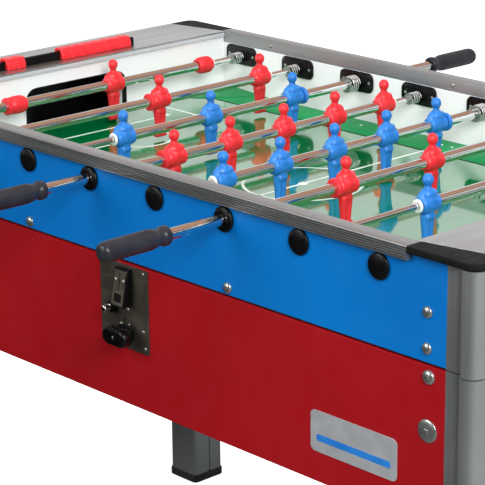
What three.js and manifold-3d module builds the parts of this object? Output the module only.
// Foosball table with telescopic rods, a coin-operated ball release and bead score counters.
// Millimetres. X runs along the table from the red goal to the blue goal, Y across it, Z up from the
// floor. The cabinet is drawn about its own centre and then moved so that the whole footprint, with
// the handles where they rest, is centred on the origin.
import * as THREE from 'three';
import { mergeVertices } from 'three/addons/utils/BufferGeometryUtils.js';
import Module from 'manifold-3d';

const wasm = await Module();
wasm.setup();

// Overall sizes
const tableLength = 1400;
const railHalfWidth = 387;
const railTop = 932;
const gap = 0.3;

// Cabinet boards
const boardThickness = 18;
const panelHalfWidth = 377;
const wallHalfWidth = panelHalfWidth - boardThickness;
const sideHalfLength = 643.5;
const endFace = 690;
const fieldHalfLength = 575;
const splitLevel = 776;
const baseBottom = 545.5;
const floorThickness = 14;
const sideTop = 921.5;
const endTop = 928.6;
const goalFloorThickness = 12;

// Playing field and goals
const fieldLevel = 820;
const fieldThickness = 6;
const goalHalfWidth = 105;
const goalTop = 895;
const dropHoleStart = 600;
const dropHoleHalf = 32;

// Aluminium rails, end plates and corner posts
const railBottom = 911.5;
const railHalfLength = 580;
const railStep = 2;
const plateThickness = 3;
const lipDrop = 9;
const lipThickness = 2.5;
const outerLipHalf = 308;
const profileSize = 56.2;
const profileCorner = 22;
const postSize = 75;
const postCorner = 9;
const footSize = 79;
const footHeight = 16;
const footInset = 2;
const postTop = 921.2;
const postWall = 3.5;
const endHalfWidth = railHalfWidth - profileSize - gap;

// Rods
const rodHeight = 890;
const rodSpacing = 150;
const tubeRadius = 8.5;
const tubeBore = 6.2;
const tubeSides = 12;
const wallHoleRadius = 13;
const springReach = 29;
const hubHalfWidth = 19;
const stopHalfWidth = 13;
const stopRadius = 15;
const stopOffset = 220;
const handleClearance = 37;
const handleLength = 120;
const handleRadius = 15;
const handleSocket = 60;
const boreRadius = 9.2;
const manSpacing = { 1: 0, 2: 239, 3: 191, 5: 119 };

// Rods in order from the left goal. shift is how far the men rest from the table's centre line.
const rods = [
  { team: 'red', line: 'keeper', men: 1, shift: 44 },
  { team: 'red', line: 'defence', men: 2, shift: 142 },
  { team: 'blue', line: 'attack', men: 3, shift: 6 },
  { team: 'red', line: 'midfield', men: 5, shift: 30 },
  { team: 'blue', line: 'midfield', men: 5, shift: -4 },
  { team: 'red', line: 'attack', men: 3, shift: 58 },
  { team: 'blue', line: 'defence', men: 2, shift: 2 },
  { team: 'blue', line: 'keeper', men: 1, shift: 0 },
];

// Coin mechanism on the front of the base
const coinPlate = { x0: -55, x1: 55, z0: 638, z1: 771, thickness: 2 };
const coinHousing = { x0: -41, x1: 41, z0: 650, z1: 762, depth: 75 };
const coinEntry = { x0: -9, x1: 21, z0: 709, z1: 767, topDepth: 9, bottomDepth: 20 };
const coinKnob = { x: 12, z: 665, halfWidth: 27, radius: 14, depth: 18, standOff: 17, shaft: 7 };
const coinButton = { x: -25, z: 699, radius: 6, length: 22 };

// Score counters
const counter = { x: 606, height: 942, barRadius: 5, barHalf: 165, bracketHalf: 8, bracketRise: 7 };
const bead = { length: 20, halfWidth: 14, rise: 7, ridgeHalf: 9, ridgeRise: 9.5, hole: 5.5, lift: 0.6 };
const beadGap = 0.4;

// Ball channel under the field
const channel = { halfWidth: 40, wall: 4, endLevel: 728, middleLevel: 690, sideHeight: 42, end: 668 };

function finish(colour, roughness, metalness) {
  return new THREE.MeshStandardMaterial({ color: colour, roughness, metalness });
}

function solidOf(geometry) {
  const bare = geometry.index ? geometry.toNonIndexed() : geometry.clone();
  bare.deleteAttribute('normal');
  bare.deleteAttribute('uv');
  const merged = mergeVertices(bare, 1e-4);
  return new wasm.Manifold(new wasm.Mesh({
    numProp: 3,
    vertProperties: new Float32Array(merged.attributes.position.array),
    triVerts: new Uint32Array(merged.index.array),
  }));
}

function geometryOf(solid) {
  const mesh = solid.getMesh();
  const geometry = new THREE.BufferGeometry();
  geometry.setAttribute('position', new THREE.BufferAttribute(mesh.vertProperties, 3));
  geometry.setIndex(new THREE.BufferAttribute(mesh.triVerts, 1));
  return geometry;
}

function joined(solids) {
  return solids.reduce((sum, solid) => sum.add(solid));
}

function without(solid, cutters) {
  return cutters.reduce((rest, cutter) => rest.subtract(cutter), solid);
}

function boxBetween(x0, x1, y0, y1, z0, z1) {
  const geometry = new THREE.BoxGeometry(x1 - x0, y1 - y0, z1 - z0);
  geometry.translate((x0 + x1) / 2, (y0 + y1) / 2, (z0 + z1) / 2);
  return solidOf(geometry);
}

// The same at either end of the table: end is 1 or -1, and x0 and x1 are distances from the middle.
function boxAtEnd(end, x0, x1, y0, y1, z0, z1) {
  const xs = [end * x0, end * x1].sort((a, b) => a - b);
  return boxBetween(xs[0], xs[1], y0, y1, z0, z1);
}

// A round bar along Y.
function barAlongY(radius, x, z, y0, y1, sides) {
  const geometry = new THREE.CylinderGeometry(radius, radius, y1 - y0, sides);
  geometry.translate(x, (y0 + y1) / 2, z);
  return solidOf(geometry);
}

// A solid of revolution about a line along Y. The profile is a closed list of [radius, y].
function turnedAlongY(profile, x, z, sides) {
  const points = profile.map(([radius, y]) => new THREE.Vector2(radius, y));
  const geometry = new THREE.LatheGeometry(points, sides);
  geometry.translate(x, 0, z);
  return solidOf(geometry);
}

// An upright post whose outline in X and Y has one corner radius.
function roundedPost(x0, x1, y0, y1, z0, z1, radius, steps) {
  const shape = new THREE.Shape();
  shape.moveTo(x0 + radius, y0);
  shape.lineTo(x1 - radius, y0);
  shape.absarc(x1 - radius, y0 + radius, radius, -Math.PI / 2, 0, false);
  shape.lineTo(x1, y1 - radius);
  shape.absarc(x1 - radius, y1 - radius, radius, 0, Math.PI / 2, false);
  shape.lineTo(x0 + radius, y1);
  shape.absarc(x0 + radius, y1 - radius, radius, Math.PI / 2, Math.PI, false);
  shape.lineTo(x0, y0 + radius);
  shape.absarc(x0 + radius, y0 + radius, radius, Math.PI, Math.PI * 1.5, false);
  const geometry = new THREE.ExtrudeGeometry(shape, {
    depth: z1 - z0, bevelEnabled: false, curveSegments: steps,
  });
  geometry.translate(0, 0, z0);
  return solidOf(geometry);
}

// A flat outline in X and Z, given thickness along Y.
function slabAlongY(outline, y0, y1) {
  const shape = new THREE.Shape(outline.map(([x, z]) => new THREE.Vector2(x, z)));
  const geometry = new THREE.ExtrudeGeometry(shape, { depth: y1 - y0, bevelEnabled: false });
  geometry.rotateX(Math.PI / 2);
  geometry.translate(0, y1, 0);
  return solidOf(geometry);
}

const table = new THREE.Group();

function place(name, solid, material) {
  const mesh = new THREE.Mesh(geometryOf(solid), material);
  mesh.name = name;
  table.add(mesh);
}

// Places of each rod, worked out once for the men, tube and handle.
function rodLayout(rod, index) {
  const side = rod.team === 'red' ? -1 : 1;
  const offsets = [];
  for (let i = 0; i < rod.men; i += 1) {
    offsets.push((i - (rod.men - 1) / 2) * manSpacing[rod.men]);
  }
  const reach = rod.men === 1 ? stopOffset + stopHalfWidth : offsets[rod.men - 1] + hubHalfWidth;
  const stroke = wallHalfWidth - springReach - reach;
  const handleStart = railHalfWidth + handleClearance + stroke;
  return {
    name: `${rod.team}_${rod.line}`,
    team: rod.team,
    x: (index - 3.5) * rodSpacing,
    side,
    men: offsets.map((offset) => offset + rod.shift),
    hasStops: rod.men === 1,
    handleStart: side * handleStart + rod.shift,
    handleEnd: side * (handleStart + handleLength) + rod.shift,
    tubeHandleEnd: side * (handleStart + handleSocket) + rod.shift,
    tubeInnerEnd: -side * (reach + 1) + rod.shift,
    centre: rod.shift,
  };
}

const layouts = rods.map(rodLayout);

// A moulded man: an elliptical loft from the ankles to the crown, a round hub on the rod and a block
// foot. Each station is [height above the rod axis, half width across the table, half depth].
const manStations = [
  [-58, 7.6, 5.2], [-36, 8.8, 7.4], [-18, 12, 9.8], [-9, 11.6, 10], [2, 17, 14], [13, 16.4, 11.6],
  [21, 9.5, 7.2], [25, 4.6, 4.6], [30, 7.4, 7.2], [36, 8.2, 8.2], [42, 5.8, 5.8], [45, 1.6, 1.6],
];
const manSides = 8;
const foot = { bottom: -64.5, top: -56, halfWidth: 11.8, halfDepth: 5.6 };

function manBody() {
  const positions = [];
  const indices = [];
  for (const [height, halfWidth, halfDepth] of manStations) {
    for (let i = 0; i < manSides; i += 1) {
      const angle = (2 * Math.PI * i) / manSides;
      positions.push(halfDepth * Math.cos(angle), halfWidth * Math.sin(angle), height);
    }
  }
  for (let ring = 0; ring < manStations.length - 1; ring += 1) {
    for (let i = 0; i < manSides; i += 1) {
      const a = ring * manSides + i;
      const b = ring * manSides + ((i + 1) % manSides);
      indices.push(a, b, b + manSides, a, b + manSides, a + manSides);
    }
  }
  const last = (manStations.length - 1) * manSides;
  for (let i = 1; i < manSides - 1; i += 1) {
    indices.push(0, i + 1, i);
    indices.push(last, last + i, last + i + 1);
  }
  const geometry = new THREE.BufferGeometry();
  geometry.setAttribute('position', new THREE.Float32BufferAttribute(positions, 3));
  geometry.setIndex(indices);
  const hub = barAlongY(13.5, 0, 0, -hubHalfWidth, hubHalfWidth, manSides);
  const block = boxBetween(-foot.halfDepth, foot.halfDepth, -foot.halfWidth, foot.halfWidth,
    foot.bottom, foot.top);
  const bore = barAlongY(boreRadius, 0, 0, -40, 40, tubeSides);
  return without(joined([solidOf(geometry), hub, block]), [bore]);
}

const colours = { red: 0xe5343c, blue: 0x3f7fd0 };

function addMen(layout, man) {
  layout.men.forEach((y, i) => {
    const solid = man.translate([layout.x, y, rodHeight]);
    place(`${layout.name}_man_${i + 1}`, solid, finish(colours[layout.team], 0.45, 0));
  });
}

// The chrome tube is open at both ends, so that it runs over the thin inner rod. A keeper's tube
// carries two stop collars.
function tubeSolid(layout) {
  const low = Math.min(layout.tubeHandleEnd, layout.tubeInnerEnd);
  const high = Math.max(layout.tubeHandleEnd, layout.tubeInnerEnd);
  const parts = [barAlongY(tubeRadius, layout.x, rodHeight, low, high, tubeSides)];
  if (layout.hasStops) {
    for (const offset of [-stopOffset, stopOffset]) {
      const y = layout.centre + offset;
      parts.push(turnedAlongY([
        [0, y - stopHalfWidth], [stopRadius * 0.8, y - stopHalfWidth], [stopRadius, y - 6],
        [stopRadius, y + 6], [stopRadius * 0.8, y + stopHalfWidth], [0, y + stopHalfWidth],
      ], layout.x, rodHeight, tubeSides));
    }
  }
  const bore = barAlongY(tubeBore, layout.x, rodHeight, low - 5, high + 5, 12);
  return without(joined(parts), [bore]);
}

// Grip with a collar and a waist at the rod side and a domed outer end.
function handleSolid(layout) {
  const stations = [
    [0, 0], [12.5, 0], [14.5, 3], [14.5, 10], [11.8, 16], [13.5, 22], [handleRadius, 32],
    [handleRadius, 108], [13, 116], [8, handleLength], [0, handleLength],
  ];
  const profile = stations.map(([radius, along]) => [radius, layout.handleStart + layout.side * along]);
  if (layout.side < 0) {
    profile.reverse();
  }
  const grip = turnedAlongY(profile, layout.x, rodHeight, tubeSides);
  const inner = layout.handleStart - layout.side * 5;
  const deep = layout.tubeHandleEnd + layout.side * gap;
  const socket = barAlongY(boreRadius, layout.x, rodHeight, Math.min(inner, deep),
    Math.max(inner, deep), tubeSides);
  return without(grip, [socket]);
}

// A side board with one hole for each rod. It is taller beyond the ends of its rail.
function sideSolid(side) {
  const y0 = side < 0 ? -panelHalfWidth : wallHalfWidth;
  const y1 = y0 + boardThickness;
  const low = boxBetween(-sideHalfLength, sideHalfLength, y0, y1, splitLevel + gap, railBottom - gap);
  const ears = [-1, 1].map((end) => (
    boxAtEnd(end, railHalfLength + gap, sideHalfLength, y0, y1, splitLevel + 20, sideTop)
  ));
  const holes = layouts.map((layout) => (
    barAlongY(wallHoleRadius, layout.x, rodHeight, y0 - 5, y1 + 5, 12)
  ));
  return without(joined([low, ...ears]), holes);
}

// One end of the cabinet: the inner goal wall, the outer board and the floor of the goal box.
function endSolid(end) {
  const inner = fieldHalfLength + gap;
  const wall = wallHalfWidth - gap;
  const bottom = splitLevel + gap;
  const goalWall = boxAtEnd(end, inner, inner + boardThickness, -wall, wall, bottom, endTop);
  const outerBoard = boxAtEnd(end, endFace - boardThickness, endFace, -endHalfWidth, endHalfWidth,
    bottom, endTop);
  const boxFloor = boxAtEnd(end, inner, endFace, -endHalfWidth, endHalfWidth, bottom,
    splitLevel + goalFloorThickness);
  const mouth = boxAtEnd(end, inner - 5, inner + boardThickness + 5, -goalHalfWidth, goalHalfWidth,
    fieldLevel + 0.5, goalTop);
  const drop = boxAtEnd(end, dropHoleStart, dropHoleStart + 2 * dropHoleHalf, -dropHoleHalf,
    dropHoleHalf, splitLevel - 5, splitLevel + 20);
  return without(joined([goalWall, outerBoard, boxFloor]), [mouth, drop]);
}

// The base: four panels on a floor board, open at the top, with a cut-out for the coin mechanism.
function baseSolid() {
  const top = splitLevel - gap;
  const length = sideHalfLength - gap;
  const parts = [
    boxBetween(-length, length, -panelHalfWidth, panelHalfWidth, baseBottom, baseBottom + floorThickness),
    boxBetween(-endFace, endFace, -endHalfWidth, endHalfWidth, baseBottom,
      baseBottom + floorThickness),
    boxBetween(-length, length, -panelHalfWidth, -wallHalfWidth, baseBottom, top),
    boxBetween(-length, length, wallHalfWidth, panelHalfWidth, baseBottom, top),
    boxAtEnd(-1, endFace - boardThickness, endFace, -endHalfWidth, endHalfWidth, baseBottom, top),
    boxAtEnd(1, endFace - boardThickness, endFace, -endHalfWidth, endHalfWidth, baseBottom, top),
  ];
  const cutout = boxBetween(coinHousing.x0 - 1, coinHousing.x1 + 1, -panelHalfWidth - 5,
    5 - wallHalfWidth, coinHousing.z0 - 1, coinHousing.z1 + 1);
  return without(joined(parts), [cutout]);
}

// A long aluminium rail over a side board, with a shallow step below its grooved outer face.
function railSolid(side) {
  const outer = side * railHalfWidth;
  const inner = side * wallHalfWidth;
  const ys = [outer, inner].sort((a, b) => a - b);
  const body = boxBetween(-railHalfLength, railHalfLength, ys[0], ys[1], railBottom, railTop);
  const stepYs = [outer, outer - side * railStep].sort((a, b) => a - b);
  const step = boxBetween(-railHalfLength - 1, railHalfLength + 1, stepYs[0] - (side < 0 ? 1 : 0),
    stepYs[1] + (side > 0 ? 1 : 0), railBottom - 1, railBottom + 2.5);
  return without(body, [step]);
}

// An end plate with turned-down lips, and the bar that the score beads slide on.
function endPlateSolid(end) {
  const half = wallHalfWidth - gap;
  const outer = tableLength / 2;
  const inner = fieldHalfLength - lipThickness;
  const lipBottom = railTop - lipDrop;
  const { x, height, barRadius, barHalf, bracketHalf, bracketRise } = counter;
  const solids = [
    boxAtEnd(end, inner, outer, -half, half, railTop - plateThickness, railTop),
    boxAtEnd(end, inner, inner + lipThickness, -half, half, lipBottom, railTop),
    boxAtEnd(end, outer - lipThickness, outer, -outerLipHalf, outerLipHalf, lipBottom, railTop),
    barAlongY(barRadius, end * x, height, -barHalf, barHalf, 12),
  ];
  for (const side of [-1, 1]) {
    const y = side * barHalf;
    solids.push(boxAtEnd(end, x - bracketHalf, x + bracketHalf, y - bracketHalf / 2, y + bracketHalf / 2,
      railTop - 1, height + bracketRise));
  }
  return joined(solids);
}

// A run of score beads moulded as ridges round one sleeve, bored to slide on the bar.
function beadSolid(end, y0, count) {
  const x = end * counter.x;
  const y1 = y0 + bead.length * count;
  const bottom = railTop + bead.lift;
  const sleeveHalf = bead.ridgeHalf + 1;
  const solids = [
    boxBetween(x - sleeveHalf, x + sleeveHalf, y0, y1 - beadGap, bottom + 1, counter.height + 6),
  ];
  for (let y = y0; y < y1; y += bead.length) {
    solids.push(boxBetween(x - bead.halfWidth, x + bead.halfWidth, y, y + bead.length - beadGap,
      bottom, counter.height + bead.rise));
    solids.push(boxBetween(x - bead.ridgeHalf, x + bead.ridgeHalf, y + 2, y + bead.length - 2,
      bottom, counter.height + bead.ridgeRise));
  }
  const hole = barAlongY(bead.hole, x, counter.height, y0 - 5, y1 + 5, 12);
  return without(joined(solids), [hole]);
}

// A corner post: the square leg and its foot below the cabinet, and a narrower corner profile with a
// large outer radius up the cabinet's corner. Both are hollow extrusions, open at the top.
function postSolid(endX, sideY) {
  const square = (size, out, z0, z1, radius, steps) => {
    const outerX = tableLength / 2 + out;
    const outerY = railHalfWidth + out;
    const xs = [endX * outerX, endX * (outerX - size)].sort((a, b) => a - b);
    const ys = [sideY * outerY, sideY * (outerY - size)].sort((a, b) => a - b);
    return roundedPost(xs[0], xs[1], ys[0], ys[1], z0, z1, radius, steps);
  };
  const bulk = square(profileSize, 0, baseBottom - 1, postTop, 1, 1);
  const rounded = square(4 * profileSize, 0, baseBottom - 2, postTop + 1, profileCorner, 4);
  const post = square(postSize, 0, footHeight - 1, baseBottom - gap, postCorner, 2);
  const shoe = square(footSize, footInset, 0, footHeight, postCorner, 2);
  const shell = 2 * postWall;
  const postCore = square(postSize - shell, -postWall, footHeight, baseBottom - postWall, postCorner, 2);
  const profileCore = square(profileSize - shell, -postWall, baseBottom - 10, postTop + 1, postCorner, 2);
  return without(joined([shoe, post, bulk.intersect(rounded)]), [postCore, profileCore]);
}

// The coin mechanism: front plate, sloping coin entry and the housing behind the plate.
function coinPlateSolid() {
  const face = -panelHalfWidth - gap;
  const front = face - coinPlate.thickness;
  const plate = boxBetween(coinPlate.x0, coinPlate.x1, front, face, coinPlate.z0, coinPlate.z1);
  const housing = boxBetween(coinHousing.x0, coinHousing.x1, face - 0.5, face + coinHousing.depth,
    coinHousing.z0, coinHousing.z1);
  const wedge = new THREE.Shape([
    new THREE.Vector2(front + 0.5, coinEntry.z0),
    new THREE.Vector2(front + 0.5, coinEntry.z1),
    new THREE.Vector2(front - coinEntry.topDepth, coinEntry.z1),
    new THREE.Vector2(front - coinEntry.bottomDepth, coinEntry.z0),
  ]);
  const geometry = new THREE.ExtrudeGeometry(wedge, {
    depth: coinEntry.x1 - coinEntry.x0, bevelEnabled: false,
  });
  geometry.applyMatrix4(new THREE.Matrix4().makeBasis(
    new THREE.Vector3(0, 1, 0), new THREE.Vector3(0, 0, 1), new THREE.Vector3(1, 0, 0),
  ));
  geometry.translate(coinEntry.x0, 0, 0);
  const slotX = (coinEntry.x0 + coinEntry.x1) / 2;
  const slot = boxBetween(slotX - 1.6, slotX + 1.6, front - 30, front + 12, 733, 762);
  const knobHole = barAlongY(coinKnob.shaft + gap, coinKnob.x, coinKnob.z, front - 5, face + 50, 12);
  const buttonHole = barAlongY(coinButton.radius + gap, coinButton.x, coinButton.z, front - 5, face + 20, 12);
  return without(joined([plate, housing, solidOf(geometry)]), [slot, knobHole, buttonHole]);
}

function coinKnobSolid() {
  const front = -panelHalfWidth - gap - coinPlate.thickness;
  const inner = front - coinKnob.standOff;
  const headX = coinKnob.halfWidth - coinKnob.radius;
  const head = [-1, 1].map((end) => (
    barAlongY(coinKnob.radius, coinKnob.x + end * headX, coinKnob.z, inner - coinKnob.depth, inner, 14)
  ));
  const middle = boxBetween(coinKnob.x - headX, coinKnob.x + headX, inner - coinKnob.depth, inner,
    coinKnob.z - coinKnob.radius * 0.97, coinKnob.z + coinKnob.radius * 0.97);
  const shaft = barAlongY(coinKnob.shaft - 0.4, coinKnob.x, coinKnob.z, inner - 1, front + 46, 12);
  return joined([...head, middle, shaft]);
}

function coinButtonSolid() {
  const front = -panelHalfWidth - gap - coinPlate.thickness;
  return barAlongY(coinButton.radius - 0.4, coinButton.x, coinButton.z, front - coinButton.length,
    front + 12, 12);
}

// A trough that falls from both goals to the middle of the table.
function channelSolid() {
  const along = (bottom, top) => [
    [-channel.end, channel.endLevel + bottom], [0, channel.middleLevel + bottom],
    [channel.end, channel.endLevel + bottom], [channel.end, channel.endLevel + top],
    [0, channel.middleLevel + top], [-channel.end, channel.endLevel + top],
  ];
  const { halfWidth, wall, sideHeight } = channel;
  return joined([
    slabAlongY(along(-wall, 0), -halfWidth, halfWidth),
    slabAlongY(along(-wall, sideHeight), -halfWidth, wall - halfWidth),
    slabAlongY(along(-wall, sideHeight), halfWidth - wall, halfWidth),
  ]);
}

const aluminium = () => finish(0xaaa79e, 0.4, 0.9);
const chrome = () => finish(0xd8d8d8, 0.12, 1);
const blackPlastic = () => finish(0x161618, 0.5, 0);
const bluePanel = () => finish(0x0070c0, 0.35, 0);
const redPanel = () => finish(0x8f141b, 0.4, 0);
const redPlastic = () => finish(colours.red, 0.45, 0);

place('side_front', sideSolid(-1), bluePanel());
place('side_back', sideSolid(1), bluePanel());
place('end_left', endSolid(-1), bluePanel());
place('end_right', endSolid(1), bluePanel());
place('playfield', boxBetween(-fieldHalfLength, fieldHalfLength, gap - wallHalfWidth, wallHalfWidth - gap,
  fieldLevel - fieldThickness, fieldLevel), finish(0x007a3a, 0.1, 0));
place('base_cabinet', baseSolid(), redPanel());
place('rail_front', railSolid(-1), aluminium());
place('rail_back', railSolid(1), aluminium());
place('end_plate_left', endPlateSolid(-1), aluminium());
place('end_plate_right', endPlateSolid(1), aluminium());
place('leg_front_left', postSolid(-1, -1), aluminium());
place('leg_front_right', postSolid(1, -1), aluminium());
place('leg_back_left', postSolid(-1, 1), aluminium());
place('leg_back_right', postSolid(1, 1), aluminium());
place('coin_plate', coinPlateSolid(), finish(0x6b6a62, 0.45, 0.8));
place('coin_knob', coinKnobSolid(), blackPlastic());
place('coin_return_button', coinButtonSolid(), chrome());
place('ball_channel', channelSolid(), finish(0xcfcfcf, 0.5, 0.2));

const counters = [[-1, 'left'], [1, 'right']];
for (const [end, label] of counters) {
  const waiting = end < 0 ? -15 : 15 - 8 * bead.length;
  const scored = end < 0 ? -137 : 137 - 2 * bead.length;
  place(`score_beads_${label}_waiting`, beadSolid(end, waiting, 8), redPlastic());
  place(`score_beads_${label}_scored`, beadSolid(end, scored, 2), redPlastic());
}

const man = manBody();
for (const layout of layouts) {
  place(`${layout.name}_tube`, tubeSolid(layout), chrome());
  place(`${layout.name}_handle`, handleSolid(layout), blackPlastic());
  addMen(layout, man);
}

// Centre the whole footprint, handles included, on the origin.
const handleEnds = layouts.map((layout) => layout.handleEnd);
table.position.y = -(Math.min(...handleEnds) + Math.max(...handleEnds)) / 2;

export default table;
